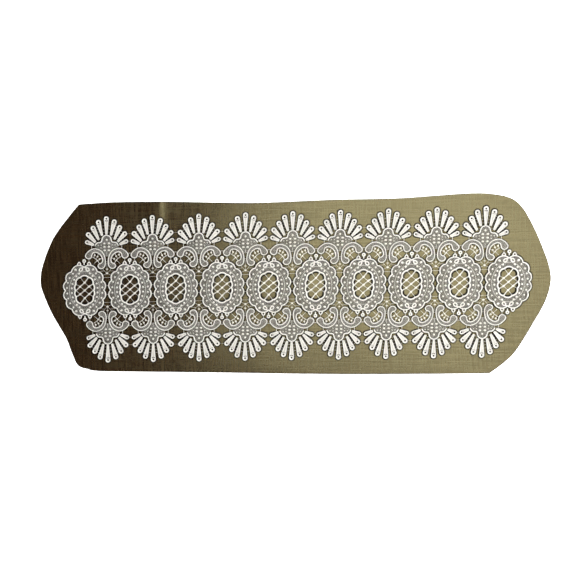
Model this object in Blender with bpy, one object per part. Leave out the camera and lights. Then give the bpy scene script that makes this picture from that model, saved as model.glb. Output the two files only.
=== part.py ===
"""Table runner: a faced linen-look cloth with a band of guipure lace motifs sewn on top.

Metres, +Z up. The origin lies on the surface that the runner rests on, under the middle of the cloth.
+X runs along the runner, and +Y points to its back edge.
The lace is drawn on its maker's grid, GRID metres to a step, with 100 steps to the pitch of its motifs.
"""

import math

import bmesh
import bpy

# The runner is laid a little out of square: it runs this far along +X for each metre along +Y
LAY_SKEW = 0.035

# The cloth and its facings
CLOTH_LENGTH = 0.900
CLOTH_WIDTH = 0.316
CLOTH_THICKNESS = 0.0005
FACING_WIDTH = 0.020
FACING_THICKNESS = 0.0005
FACING_INSET = 0.0006
STITCH_THREAD = 0.0004

# The lace
PITCH = 0.083
LACE_END_MARGIN = 0.034
LACE_CENTRE = (0.0042, 0.0018)
CORD = 0.0026
LACE_THICKNESS = 0.0016
NET_THICKNESS = 0.0010
BAR_THICKNESS = 0.0008
BAR_WIDTH = 0.0011

# Pieces that touch keep this much air between them, and bars that cross differ this much in height
CLEARANCE = 0.0003
BAR_STAGGER = 0.00015

# As many whole medallions as the cloth has room for
MEDALLION_COUNT = int((CLOTH_LENGTH - 2 * LACE_END_MARGIN) / PITCH)
GRID = PITCH / 100
HALF_PITCH = 50
FACING_TOP = FACING_THICKNESS
CLOTH_BOTTOM = FACING_TOP + CLEARANCE
CLOTH_TOP = CLOTH_BOTTOM + CLOTH_THICKNESS
LACE_BOTTOM = CLOTH_TOP + CLEARANCE

# The cloth's ends: how far each point lies in from the end's tip, and its share of the half width
RIGHT_END = [
    (0.1010, 0.970),
    (0.0640, 0.894),
    (0.0390, 0.689),
    (0.0130, 0.341),
    (0.0000, 0.064),
    (0.0066, -0.183),
    (0.0266, -0.440),
    (0.0598, -0.792),
    (0.0988, -0.997),
]
FRONT_LEFT_TURN = (0.0848, -0.892)
LEFT_END = [
    (0.0640, -0.829),
    (0.0458, -0.540),
    (0.0209, -0.262),
    (0.0027, 0.015),
    (0.0000, 0.159),
    (0.0060, 0.337),
    (0.0284, 0.647),
    (0.0724, 0.986),
]
# The long edges wave a little: share of the way along, from the left, and how far the edge dips inwards
BACK_WAVE = [(0.09, 0.0), (0.24, 0.0023), (0.43, 0.0080), (0.62, 0.0065), (0.78, 0.0071), (0.93, 0.0023)]
FRONT_WAVE = [(0.04, 0.0125), (0.23, 0.0091), (0.42, 0.0058), (0.62, 0.0021), (0.82, 0.0008)]

# Medallion, a quarter of it on the grid: where two lobes meet, and how far the lobe after it bulges
OUTER_VALLEYS = [((0, 50), 9.0), ((28.5, 40), 6.2), ((39.5, 20.5), 5.7), ((42, 0), 0)]
INNER_VALLEYS = [((8.7, 28.3), 4.3), ((18.8, 13.5), 2.7), ((19.8, 0), 0)]
INNER_TOP_BULGE = 4.0
NET_LINES = [((-17.5, 23), (22.5, -7)), ((-22.5, 7), (17.5, -23))]
DROP_CENTRE, DROP_RADIUS, DROP_ROOT = (0, 63.5), 4.2, 53

# Fan: each petal's root, tip centre and tip radius, and the valley on its outer side
PETALS = [
    ((0, 115), (0, 152.7), 6.0, (4.6, 118)),
    ((9, 113), (17.2, 145.5), 6.2, (12.6, 106)),
    ((16, 105), (29, 133), 6.2, (19, 104)),
    ((22.5, 100), (39.7, 119.8), 6.0, (25.2, 99.5)),
    ((25.5, 96), (43, 103.9), 5.2, (26.2, 92.5)),
]

# Scroll, the right one of a pair: its outer cord runs round the low curl, up, over and round the high curl
SCROLL_OUTER = [
    (17.5, 56),
    (18, 49.5),
    (12, 46),
    (5, 50.5),
    (3.3, 61),
    (5.8, 75),
    (12, 84),
    (22, 88.8),
    (33, 88),
    (43.5, 80.5),
    (46, 73),
    (40.5, 68),
    (34, 71.5),
]
SCROLL_INNER = [(30.5, 80.3), (23.5, 81.6), (14, 76), (9.5, 67), (11, 58.7)]
# The points of SCROLL_OUTER that the heart of the fan lies against, and how far it dips between them
HEART_STRETCH, HEART_DIP = (5, 8), 1
LINK_HALF, LINK_LEVELS = 4.5, (73.5, 60)
SPIDER_KNOT = (0, 36)

# How finely curves are drawn, and how sharp a corner may be before its mitre is cut short
CLOTH_STEPS = 2
LOBE_STEPS = 3
TIP_STEPS = 4
SHARPEST_MITRE = 0.35
NEAR_ZERO = 1e-9

CLOTH_COLOUR = (0.24, 0.19, 0.11, 1)
FACING_COLOUR = (0.21, 0.165, 0.10, 1)
THREAD_COLOUR = (0.28, 0.22, 0.14, 1)
LACE_COLOUR = (0.84, 0.83, 0.78, 1)


def clear_scene():
    for found in list(bpy.data.objects):
        bpy.data.objects.remove(found)


def material(name, colour, roughness):
    made = bpy.data.materials.new(name)
    made.use_nodes = True
    shader = made.node_tree.nodes["Principled BSDF"]
    shader.inputs["Base Color"].default_value = colour
    shader.inputs["Roughness"].default_value = roughness
    shader.inputs["Metallic"].default_value = 0
    return made


def askew(x, y):
    """Where a point of the square-cut runner comes to lie."""
    return x + LAY_SKEW * y, y


def smooth(points, steps):
    """A Catmull-Rom curve through the points, with this many steps to each stretch."""
    ends = [points[0], *points, points[-1]]
    curve = []
    for before, start, end, after in zip(ends, ends[1:], ends[2:], ends[3:]):
        for step in range(steps):
            t = step / steps
            curve.append(
                tuple(
                    0.5
                    * (
                        2 * b
                        + (c - a) * t
                        + (2 * a - 5 * b + 4 * c - d) * t * t
                        + (3 * b - a - 3 * c + d) * t**3
                    )
                    for a, b, c, d in zip(before, start, end, after)
                )
            )
    return [*curve, points[-1]]


def arc(start, end, bulge, steps):
    """Points of a circular arc that bulges to the left of the way from start to end, without its end."""
    chord = math.dist(start, end)
    radius = (chord * chord / 4 + bulge * bulge) / (2 * bulge)
    along = ((end[0] - start[0]) / chord, (end[1] - start[1]) / chord)
    left = (-along[1], along[0])
    half = math.asin(chord / 2 / radius)
    points = []
    for step in range(steps):
        angle = half * (2 * step / steps - 1)
        forward = chord / 2 + radius * math.sin(angle)
        sideways = radius * math.cos(angle) - (radius - bulge)
        points.append(tuple(s + a * forward + n * sideways for s, a, n in zip(start, along, left)))
    return points


def quartered(quarter):
    """A closed loop, clockwise from the top, from its first quarter: points before y = 0, and one on it."""
    right = [*quarter[0], quarter[1], *[(x, -y) for x, y in reversed(quarter[0])]]
    return [*right, *[(-x, y) for x, y in reversed(right) if abs(x) > NEAR_ZERO]]


def lobed(valleys, steps):
    """A quarter of a lobed outline: the points before y = 0, and the valley on it."""
    points = []
    for (start, bulge), (end, _) in zip(valleys, valleys[1:]):
        points += arc(start, end, bulge, steps)
    return points, valleys[-1][0]


def medallion_outer():
    return quartered(lobed(OUTER_VALLEYS, LOBE_STEPS))


def medallion_inner():
    """The opening's cord. The top lobe is half to the right of x = 0 and half to the left."""
    first = INNER_VALLEYS[0][0]
    points, last = lobed(INNER_VALLEYS, LOBE_STEPS - 1)
    return quartered(([(0, first[1] + INNER_TOP_BULGE), *points], last))


def area_of(loop):
    return sum(a[0] * b[1] - b[0] * a[1] for a, b in zip(loop, [*loop[1:], loop[0]])) / 2


def offset(loop, distance, closed=True):
    """The loop moved outwards by distance, or inwards if it is negative. An open path moves to its left."""
    count = len(loop)
    side = -math.copysign(1, area_of(loop)) if closed else 1
    moved = []
    for i, (x, y) in enumerate(loop):
        before = loop[i - 1] if closed or i else None
        after = loop[(i + 1) % count] if closed or i + 1 < count else None
        normals = []
        for a, b in ((before, (x, y)), ((x, y), after)):
            if a and b and math.dist(a, b) > NEAR_ZERO:
                length = math.dist(a, b)
                normals.append((-(b[1] - a[1]) / length, (b[0] - a[0]) / length))
        nx = sum(n[0] for n in normals) / len(normals)
        ny = sum(n[1] for n in normals) / len(normals)
        mitre = side * distance / max(nx * nx + ny * ny, SHARPEST_MITRE)
        moved.append((x + nx * mitre, y + ny * mitre))
    return moved


def strip(path, width):
    """The outline of a bar of this width along a path on the grid."""
    return [*offset(path, width / 2, closed=False), *reversed(offset(path, -width / 2, closed=False))]


def round_tip(root, tip, radius, steps):
    """The half circle round the tip of something that points from its root to its tip, clockwise."""
    length = math.dist(root, tip)
    along = ((tip[0] - root[0]) / length, (tip[1] - root[1]) / length)
    left = (-along[1], along[0])
    points = []
    for step in range(steps + 1):
        angle = math.pi / 2 - math.pi * step / steps
        forward, sideways = radius * math.cos(angle), radius * math.sin(angle)
        points.append(tuple(t + a * forward + n * sideways for t, a, n in zip(tip, along, left)))
    return points


def both_sides(right):
    """A closed loop from its right half, which runs from the top of x = 0 to the foot of it."""
    return [*right, *[(-x, y) for x, y in reversed(right) if x > NEAR_ZERO]]


def mirrored(loop):
    return [(-x, y) for x, y in loop]


def prism(outline, bottom, top, scale=1.0):
    """A closed mesh: the outline, times scale, made solid from bottom to top."""
    flat = outline if area_of(outline) > 0 else list(reversed(outline))
    made = bmesh.new()
    corners = [made.verts.new((*askew(x * scale, y * scale), bottom)) for x, y in flat]
    face = made.faces.new(corners)
    raised = bmesh.ops.extrude_face_region(made, geom=[face])
    lifted = [e for e in raised["geom"] if isinstance(e, bmesh.types.BMVert)]
    bmesh.ops.translate(made, vec=(0, 0, top - bottom), verts=lifted)
    bmesh.ops.recalc_face_normals(made, faces=made.faces)
    mesh = bpy.data.meshes.new("prism")
    made.to_mesh(mesh)
    made.free()
    return mesh


def ring(outer, inner, bottom, top):
    """A closed mesh between two loops that have the same number of points."""
    count = len(outer)
    levels = ((outer, bottom), (inner, bottom), (inner, top), (outer, top))
    corners = [(*askew(x, y), z) for loop, z in levels for x, y in loop]
    faces = []
    for i in range(count):
        j = (i + 1) % count
        for level in range(4):
            a, b = level * count, (level + 1) % 4 * count
            faces.append((a + i, a + j, b + j, b + i))
    made = bmesh.new()
    verts = [made.verts.new(corner) for corner in corners]
    for face in faces:
        made.faces.new([verts[k] for k in face])
    bmesh.ops.recalc_face_normals(made, faces=made.faces)
    mesh = bpy.data.meshes.new("ring")
    made.to_mesh(mesh)
    made.free()
    return mesh


def joined(meshes, cutters=()):
    """One mesh: the first with the others united to it, then the cutters taken out of it."""
    helpers = [bpy.data.objects.new("helper", mesh) for mesh in (*meshes, *cutters)]
    for helper in helpers:
        bpy.context.scene.collection.objects.link(helper)
    for helper in helpers[1:]:
        step = helpers[0].modifiers.new("join", "BOOLEAN")
        step.operation = "UNION" if helper.data in meshes else "DIFFERENCE"
        step.object = helper
    bpy.context.view_layer.update()
    graph = bpy.context.evaluated_depsgraph_get()
    made = bpy.data.meshes.new_from_object(helpers[0].evaluated_get(graph))
    for helper in helpers:
        bpy.data.objects.remove(helper)
    return made


def place(name, mesh, colour, at=(0, 0), turned=0.0):
    made = bpy.data.objects.new(name, mesh)
    if not mesh.materials:
        mesh.materials.append(colour)
    made.location = (*askew(*at), 0)
    made.rotation_euler = (0, 0, turned)
    bpy.context.scene.collection.objects.link(made)


def cloth_sides():
    """The cloth's outline, clockwise from its back left corner, as two smooth sides that meet in corners."""
    half_length, half_width = CLOTH_LENGTH / 2, CLOTH_WIDTH / 2
    right = [(half_length - inset, share * half_width) for inset, share in RIGHT_END]
    left = [(inset - half_length, share * half_width) for inset, share in LEFT_END]
    turn = (FRONT_LEFT_TURN[0] - half_length, FRONT_LEFT_TURN[1] * half_width)
    back_start, back_run = left[-1][0], right[0][0] - left[-1][0]
    back = [(back_start + share * back_run, half_width - dip) for share, dip in BACK_WAVE]
    front_run = right[-1][0] - turn[0]
    front = [(turn[0] + share * front_run, dip - half_width) for share, dip in reversed(FRONT_WAVE)]
    return [
        smooth([left[-1], *back, *right], CLOTH_STEPS),
        smooth([right[-1], *front, turn, *left], CLOTH_STEPS),
    ]


def cloth_outline():
    """The whole outline, moved so that the laid cloth's box has its middle at the origin."""
    loop = [point for side in cloth_sides() for point in side[:-1]]
    laid = [askew(x, y) for x, y in loop]
    middle_x, middle_y = ((min(values) + max(values)) / 2 for values in zip(*laid))
    return [(x - middle_x + LAY_SKEW * middle_y, y - middle_y) for x, y in loop]


def make_cloth(colour):
    place("ground_cloth", prism(cloth_outline(), CLOTH_BOTTOM, CLOTH_TOP), colour)


def facing_breaks():
    """Where each facing starts, as a point along the outline: at the corners and at the two tips."""
    right_start = len(BACK_WAVE) + 1
    right_tip = [inset for inset, _ in RIGHT_END].index(0.0)
    front_start = right_start + len(RIGHT_END) - 1
    left_start = front_start + len(FRONT_WAVE) + 2
    left_tip = [inset for inset, _ in LEFT_END].index(0.0)
    knots = [0, right_start, right_start + right_tip, front_start, left_start, left_start + left_tip]
    return [knot * CLOTH_STEPS for knot in knots]


def trimmed(path, amount):
    """The path with each end drawn in along its first or last stretch."""

    def nearer(start, towards):
        share = amount / math.dist(start, towards)
        return tuple(a + (b - a) * share for a, b in zip(start, towards))

    return [nearer(path[0], path[1]), *path[1:-1], nearer(path[-1], path[-2])]


def make_facings(colour):
    """Six strips under the cloth's edge, mitred where they meet."""
    outline = cloth_outline()
    outer = offset(outline, -FACING_INSET)
    inner = offset(outline, -FACING_INSET - FACING_WIDTH)
    names = ["back", "right_back", "right_front", "front", "left_front", "left_back"]
    breaks = [*facing_breaks(), len(outline)]
    for name, first, last in zip(names, breaks, breaks[1:]):
        stretch = [i % len(outline) for i in range(first, last + 1)]
        outer_side = trimmed([outer[i] for i in stretch], CLEARANCE)
        inner_side = trimmed([inner[i] for i in stretch], CLEARANCE)
        place(f"facing_{name}", prism([*outer_side, *reversed(inner_side)], 0, FACING_TOP), colour)


def make_slip_stitch(colour):
    """The thread that holds the facings' inner edge to the cloth, as one closed line."""
    outline = cloth_outline()
    gap = FACING_INSET + FACING_WIDTH + CLEARANCE
    outside, inside = offset(outline, -gap), offset(outline, -gap - STITCH_THREAD)
    place("facing_slip_stitch", ring(outside, inside, FACING_TOP - STITCH_THREAD, FACING_TOP), colour)


def medallion_outline():
    """The outer cord's lobes, with a drop at the top and the foot."""
    loop = offset(medallion_outer(), CORD / 2 / GRID)
    neck = BAR_WIDTH / GRID
    tip = round_tip((0, DROP_ROOT), DROP_CENTRE, DROP_RADIUS, TIP_STEPS)
    drop = [(-neck, DROP_ROOT), *tip, (neck, DROP_ROOT)]
    half = len(loop) // 2
    return [*drop, *loop[1:half], *[(-x, -y) for x, y in drop], *loop[half + 1 :]]


def medallion_mesh():
    """The lobed plate with its net window."""
    top = LACE_BOTTOM + LACE_THICKNESS
    net_top = LACE_BOTTOM + NET_THICKNESS
    plate = prism(medallion_outline(), LACE_BOTTOM, top, GRID)
    window = prism(offset(medallion_inner(), -CORD / 2 / GRID), 0, 2 * top, GRID)
    pieces = [joined([plate], [window])]
    for line in NET_LINES:
        for path, high in ((line, net_top), (mirrored(line), net_top - BAR_STAGGER)):
            pieces.append(prism(strip(path, BAR_WIDTH / GRID), high - BAR_THICKNESS, high, GRID))
    return joined(pieces)


def fan_outline():
    """Nine petals, and the heart below them, with clearance to the cords of the scrolls that hold it."""
    right = []
    for root, tip, radius, valley in PETALS:
        points = round_tip(root, tip, radius, TIP_STEPS)
        right += [*(points if tip[0] > 0 else points[TIP_STEPS // 2 :]), valley]
    first, last = HEART_STRETCH
    foot = offset(SCROLL_OUTER[first:last], (CORD / 2 + CLEARANCE) / GRID, closed=False)
    return both_sides([*right, *reversed(foot), (0, foot[0][1] - HEART_DIP)])


def fan_mesh():
    return prism(fan_outline(), LACE_BOTTOM, LACE_BOTTOM + LACE_THICKNESS, GRID)


def link_lines():
    """The bars that tie the scrolls of a pair."""
    return [[(-LINK_HALF, level), (LINK_HALF, level)] for level in LINK_LEVELS]


def spider_lines():
    """The bars in the gap between two medallions: from the lower link to a knot, and on to their lobes."""
    around = offset(medallion_outer(), (CORD / 2 + CLEARANCE + BAR_WIDTH / 2) / GRID)
    lines = [[(0, LINK_LEVELS[-1]), SPIDER_KNOT]]
    for x, y in (around[LOBE_STEPS], around[2 * LOBE_STEPS - 1]):
        lines.append([(x - HALF_PITCH, y), SPIDER_KNOT, (HALF_PITCH - x, y)])
    return lines


def scrolls_mesh():
    """A pair of scrolls tied by short bars, with the spider that hangs below them."""
    band = offset([*SCROLL_OUTER, *SCROLL_INNER], CORD / 2 / GRID)
    top = LACE_BOTTOM + LACE_THICKNESS
    pieces = [prism(outline, LACE_BOTTOM, top, GRID) for outline in (band, mirrored(band))]
    for number, line in enumerate([*link_lines(), *spider_lines()]):
        low = LACE_BOTTOM + (2 + number) * BAR_STAGGER
        pieces.append(prism(strip(line, BAR_WIDTH / GRID), low, low + BAR_THICKNESS, GRID))
    return joined(pieces)


def make_lace(colour):
    middle, level = LACE_CENTRE
    medallion, fan, scrolls = medallion_mesh(), fan_mesh(), scrolls_mesh()
    first = middle - (MEDALLION_COUNT - 1) / 2 * PITCH
    for number in range(MEDALLION_COUNT):
        place(f"medallion_{number + 1}", medallion, colour, (first + number * PITCH, level))
    for number in range(MEDALLION_COUNT - 1):
        at = (first + (number + 0.5) * PITCH, level)
        for row, turned in (("back", 0.0), ("front", math.pi)):
            place(f"fan_{row}_{number + 1}", fan, colour, at, turned)
            place(f"scrolls_{row}_{number + 1}", scrolls, colour, at, turned)


def main():
    clear_scene()
    make_cloth(material("linen_look_cloth", CLOTH_COLOUR, 0.85))
    make_facings(material("facing_cloth", FACING_COLOUR, 0.88))
    make_slip_stitch(material("sewing_thread", THREAD_COLOUR, 0.7))
    make_lace(material("lace_thread", LACE_COLOUR, 0.75))


main()
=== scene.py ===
# %% [markdown]
# # A table runner with a band of lace
# The real runner is a long six-sided cloth with softly pointed ends. Its raw edges are folded under and
# faced. A band of white guipure lace, made of medallions, scrolls and shell fans, is sewn down its middle.
# The first cell loads the CAD frame. The frame gives every piece its place and its size, so that the
# visual model can't drift away from the model that is simulated.

# %% Load the frame
import math

import bpy
import numpy as np
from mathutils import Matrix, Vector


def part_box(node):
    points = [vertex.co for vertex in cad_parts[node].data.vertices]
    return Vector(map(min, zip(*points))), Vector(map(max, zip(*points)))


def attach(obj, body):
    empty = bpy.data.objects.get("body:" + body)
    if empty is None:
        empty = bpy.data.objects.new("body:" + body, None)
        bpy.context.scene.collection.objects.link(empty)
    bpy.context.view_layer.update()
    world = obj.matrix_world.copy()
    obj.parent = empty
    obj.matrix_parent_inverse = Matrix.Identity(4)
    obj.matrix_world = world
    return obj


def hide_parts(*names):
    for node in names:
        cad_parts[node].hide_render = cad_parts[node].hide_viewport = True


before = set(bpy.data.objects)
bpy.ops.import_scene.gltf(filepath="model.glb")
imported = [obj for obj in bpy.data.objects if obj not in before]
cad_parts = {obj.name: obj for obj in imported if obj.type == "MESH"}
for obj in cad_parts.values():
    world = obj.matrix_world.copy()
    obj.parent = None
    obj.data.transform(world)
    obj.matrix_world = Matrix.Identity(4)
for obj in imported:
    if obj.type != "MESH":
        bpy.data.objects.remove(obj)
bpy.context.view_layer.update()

print("CAD nodes:", len(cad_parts))

# %% [markdown]
# ## The camera and the colours
# The runner lies flat and is seen from almost straight above, a little from behind its middle and from
# the right. A 50 mm lens on a 36 mm frame keeps the long cloth free of strong perspective. The colours go
# to the screen as they are ("Standard"), because a film-like curve would grey the white thread.

# %% Camera
CAMERA_PLACE = (0.1004, 0.1273, 1.394)
CAMERA_TURN = (-5.26, 4.222, -1.532)
LENS, FILM = 50, 36

camera_data = bpy.data.cameras.new("camera")
camera_data.lens = LENS
camera_data.sensor_width = FILM
camera = bpy.data.objects.new("camera", camera_data)
camera.location = CAMERA_PLACE
camera.rotation_euler = [math.radians(a) for a in CAMERA_TURN]
bpy.context.scene.collection.objects.link(camera)
bpy.context.scene.camera = camera
bpy.context.scene.view_settings.view_transform = "Standard"
print("camera at", CAMERA_PLACE)

# %% [markdown]
# ## Meshes from whole arrays
# Every thread, cord, petal and hem here is a grid of points worked out with numpy: one direction of the
# grid runs along a path and the other runs round a section. A shape is kept as three arrays: its points,
# the corner numbers of its four-sided faces, and a place on the UV map for each of those corners. This is
# chosen over modelling tools because a motif is drawn once and then laid down many times.

# %% Grids and sections
MM = 0.001


def unit(steps):
    """Each step divided by its own length."""
    return steps / np.linalg.norm(steps, axis=-1, keepdims=True)


def right_of(ahead):
    """A quarter turn to the right: (x, y) becomes (y, -x)."""
    return np.stack([ahead[..., 1], -ahead[..., 0]], -1)


def turned_by(x, y, degrees):
    """A turn to the left: (x, y) becomes (cx - sy, sx + cy), with c and s the cosine and the sine."""
    c, s = math.cos(math.radians(degrees)), math.sin(math.radians(degrees))
    return np.stack([c * x - s * y, s * x + c * y], -1)


def raised(flat, height):
    """Points in space, in one list: flat points, each with its height."""
    height = np.broadcast_to(height, flat.shape[:-1])
    return np.concatenate([flat, height[..., None]], -1).reshape(-1, 3)


def lattice(rows, columns, rows_closed=False, columns_closed=False):
    """Quads of a grid: quad (i, j) joins rows i and i + 1 and columns j and j + 1.

    Gives the corner numbers, and each corner's row and column counted on past the seam.
    """
    i = np.arange(rows if rows_closed else rows - 1)
    j = np.arange(columns if columns_closed else columns - 1)
    i, j = (part.ravel() for part in np.meshgrid(i, j, indexing="ij"))
    row = np.stack([i, i + 1, i + 1, i], 1)
    column = np.stack([j, j, j + 1, j + 1], 1)
    return row % rows * columns + column % columns, row, column


def lid(count):
    """Quads that close a ring of an even number of points: point k goes with point count - 1 - k."""
    k = np.arange(count // 2 - 1)
    return np.stack([k, k + 1, count - 2 - k, count - 1 - k], 1)


def tube(rows, around):
    """The quads of a tube, row by row, and then of the lids on its first and last ring."""
    end = lid(around)
    skin = lattice(rows, around, False, True)[0]
    return np.concatenate([skin, end, end[:, ::-1] + (rows - 1) * around])


def repeated(quads, points_each, count):
    """The quads of one shape for count shapes in a row: shape k's numbers are k * points_each higher."""
    return (quads[None] + points_each * np.arange(count)[:, None, None]).reshape(-1, 4)


def round_section(points):
    """Even points on a circle, top half first: across runs from -1 to 1, and height from 0 to 1."""
    angle = (np.arange(points) + 0.5) * 2 * np.pi / points
    return np.stack([np.cos(angle), 0.5 + 0.5 * np.sin(angle)], 1)


def topped_section(across, heights):
    """A section with a flat foot: its top from right to left, then the same points on the foot."""
    top = np.stack([across, heights], 1)
    foot = np.stack([across[::-1], np.zeros(len(across))], 1)
    return np.concatenate([top, foot])


CORD_SECTION = round_section(8)
THREAD_SECTION = round_section(4)
print("a cord's section has", len(CORD_SECTION), "points")

# %% Sweeping a section along a path
GRID = 0.083 / 100  # one step of the lace maker's drawing, with 100 steps from motif to motif


def swept(path, half_width, bottom, top, section=CORD_SECTION, closed=False):
    """A section carried along a path drawn on the lace grid, with heights in metres.

    Point = path point + (unit vector to the right of the path) * half width * across,
    and its height = bottom + (top - bottom) * the section's height. u = metres along the path.
    """
    path = np.asarray(path, float)
    count, around = len(path), len(section)
    if closed:
        ahead = np.roll(path, -1, 0) - np.roll(path, 1, 0)
    else:
        ahead = np.gradient(path, axis=0)
    half = np.broadcast_to(half_width, count)[:, None]
    flat = path[:, None] + right_of(unit(ahead))[:, None] * (half * section[:, 0])[..., None]
    points = raised(flat, bottom + (top - bottom) * section[:, 1])
    quads, row, column = lattice(count, around, closed, True)
    steps = np.linalg.norm(np.diff(path, axis=0, append=path[:1]), axis=1)
    along = np.concatenate([[0], np.cumsum(steps)]) * GRID
    uvs = np.stack([along[row], column / around], 2)
    if not closed:
        quads = tube(count, around)
        uvs = np.concatenate([uvs, np.zeros((len(quads) - len(uvs), 4, 2))])
    return points, quads, uvs


def gathered(shapes):
    """Several shapes as one: each one's corner numbers are moved on by the points before it."""
    counts = np.cumsum([0] + [len(points) for points, _, _ in shapes[:-1]])
    points = np.concatenate([shape[0] for shape in shapes])
    quads = np.concatenate([shape[1] + count for shape, count in zip(shapes, counts)])
    return points, quads, np.concatenate([shape[2] for shape in shapes])


def flipped(shape, axis=0):
    """The mirror image: one coordinate changes sign, and corners run backwards to face outwards."""
    points = shape[0].copy()
    points[:, axis] *= -1
    return points, shape[1][:, ::-1], shape[2][:, ::-1]


def both_sides(shapes, axis=0):
    """The shapes and their mirror images."""
    whole = gathered(shapes)
    return gathered([whole, flipped(whole, axis)])


trial = swept([(0, 0), (5, 0), (10, 2)], 1, 0, 1)
print("a cord of three rings has", len(trial[1]), "faces")

# %% [markdown]
# ## Smooth lines
# A lace maker draws with few points and lets the cord bend smoothly between them. A Catmull-Rom curve does
# the same: it passes through each point, and its slope there is half the way from the point before to
# the point after. Scallops are true circular arcs, so only their valleys and their bulge are given.

# %% Paths
CURVE_STEPS = 12


def through(points, closed=False):
    """A Catmull-Rom curve, where t runs from 0 to 1 on each stretch from b to c.

    Point = half of 2b + (c - a)t + (2a - 5b + 4c - d)t squared + (3b - a - 3c + d)t cubed.
    """
    points = np.asarray(points, float)
    if closed:
        framed = np.concatenate([points[-1:], points, points[:2]])
    else:
        framed = np.concatenate([points[:1], points, points[-1:]])
    a, b, c, d = (framed[k : len(framed) - 3 + k][:, None] for k in range(4))
    t = (np.arange(CURVE_STEPS) / CURVE_STEPS)[None, :, None]
    curve = 2 * b + (c - a) * t + (2 * a - 5 * b + 4 * c - d) * t**2 + (3 * b - a - 3 * c + d) * t**3
    curve = (0.5 * curve).reshape(-1, 2)
    return curve if closed else np.concatenate([curve, points[-1:]])


def evenly(path, count, closed=False):
    """The same path with count points, spaced evenly by length. A closed path doesn't repeat its first."""
    path = np.concatenate([path, path[:1]]) if closed else np.asarray(path, float)
    run = np.concatenate([[0], np.cumsum(np.linalg.norm(np.diff(path, axis=0), axis=1))])
    at = np.linspace(0, run[-1], count + 1)[:-1] if closed else np.linspace(0, run[-1], count)
    return np.stack([np.interp(at, run, path[:, k]) for k in range(2)], 1)


def scallop(start, end, bulge, steps):
    """A circular arc that bulges to the left of the way from start to end, without its end.

    Radius = (chord squared / 4 + bulge squared) / (2 * bulge); the angle runs evenly from side to side.
    """
    start, end = np.asarray(start, float), np.asarray(end, float)
    chord = np.linalg.norm(end - start)
    radius = (chord**2 / 4 + bulge**2) / (2 * bulge)
    along = (end - start) / chord
    angle = math.asin(chord / 2 / radius) * (2 * np.arange(steps) / steps - 1)
    forward = chord / 2 + radius * np.sin(angle)
    sideways = radius * np.cos(angle) - (radius - bulge)
    return start + forward[:, None] * along - sideways[:, None] * right_of(along)


def circle(centre, radius, count=16, stretch=1.0, turn=0.0):
    """Even points of an ellipse, clockwise: radius along its own y, radius * stretch along its own x."""
    angle = np.pi / 2 - 2 * np.pi * np.arange(count) / count
    x, y = radius * stretch * np.cos(angle), radius * np.sin(angle)
    return np.asarray(centre, float) + turned_by(x, y, turn)


print("a circle of radius 2 is", round(float(np.ptp(circle((0, 0), 2)[:, 1])), 3), "high")

# %% [markdown]
# ## Colours and nodes
# Colours are written as a screen shows them and turned to linear light by one function. One other function
# adds a node, sets its values and makes its links. A pattern's scale is always worked out from a size in
# millimetres: a Noise texture's features are about 1 / scale wide, and a Wave texture's bands repeat
# every 2 pi / 20 / scale.


# %% Colour and node helpers
def linear(code):
    """An sRGB hex code as linear RGBA.

    Each channel c becomes c / 12.92 where it is small, else ((c + 0.055) / 1.055) to the power 2.4.
    """
    values = np.array([int(code[k : k + 2], 16) / 255 for k in (1, 3, 5)])
    low, high = values / 12.92, ((values + 0.055) / 1.055) ** 2.4
    return (*np.where(values <= 0.04045, low, high).tolist(), 1.0)


def node(owner, kind, settings=None, inputs=None):
    """Adds a node to a material or a world and sets its properties and inputs; a socket is linked."""
    made = owner.node_tree.nodes.new(kind)
    for name, value in (settings or {}).items():
        setattr(made, name, value)
    for name, value in (inputs or {}).items():
        if isinstance(value, bpy.types.NodeSocket):
            owner.node_tree.links.new(value, made.inputs[name])
        else:
            made.inputs[name].default_value = value
    return made


def finish_of(name, base, roughness, **sockets):
    """A new material and its shader, with one colour and one roughness until something is linked."""
    material = bpy.data.materials.new(name)
    material.use_nodes = True
    shader = material.node_tree.nodes["Principled BSDF"]
    shader.inputs["Base Color"].default_value = linear(base)
    shader.inputs["Roughness"].default_value = roughness
    for socket, value in sockets.items():
        shader.inputs[socket.replace("_", " ")].default_value = value
    return material, shader


def bands(period):
    """The Wave texture scale whose bands repeat every period metres."""
    return 2 * math.pi / 20 / period


print("2 mm bands need a Wave scale of", round(bands(2 * MM), 1))

# %% [markdown]
# ## The ground cloth's finish
# The cloth is a linen-look polyester in plain weave, with a green warp and a red-brown weft. Slubs, which
# are thick places in the yarn, give it faint streaks both ways. Its filament yarns are smooth, so it
# shines broadly where it mirrors a light and is almost black-brown elsewhere. The shine is done with the
# shader's own warm specular tint, and no light is painted into the colour.

# %% Cloth material
THREAD_SPACING = 0.7 * MM
SHOWN_WEAVE = 3.2 * MM  # the real weave is too fine to show from above, so a coarser one is laid over it
SLUBS = [(60 * MM, 2.8 * MM), (2.8 * MM, 40 * MM)]  # size along x and y, first lengthwise, then crosswise
YARN_CONTRAST = 2.2
WEAVE_DEPTH, SHOWN_DEPTH, SLUB_DEPTH = 0.012 * MM, 0.015 * MM, 0.05 * MM
SLUB_THIN, SLUB_THICK = 0.7, 1.3  # two noises added, at a thin place and at a thick one
SMOOTHER, ROUGHER = 0.07, 0.12  # what a thin place takes off the roughness, and a thick one adds
SHINE, SHINE_TINT = 0.66, "#f8eeb4"


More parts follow.
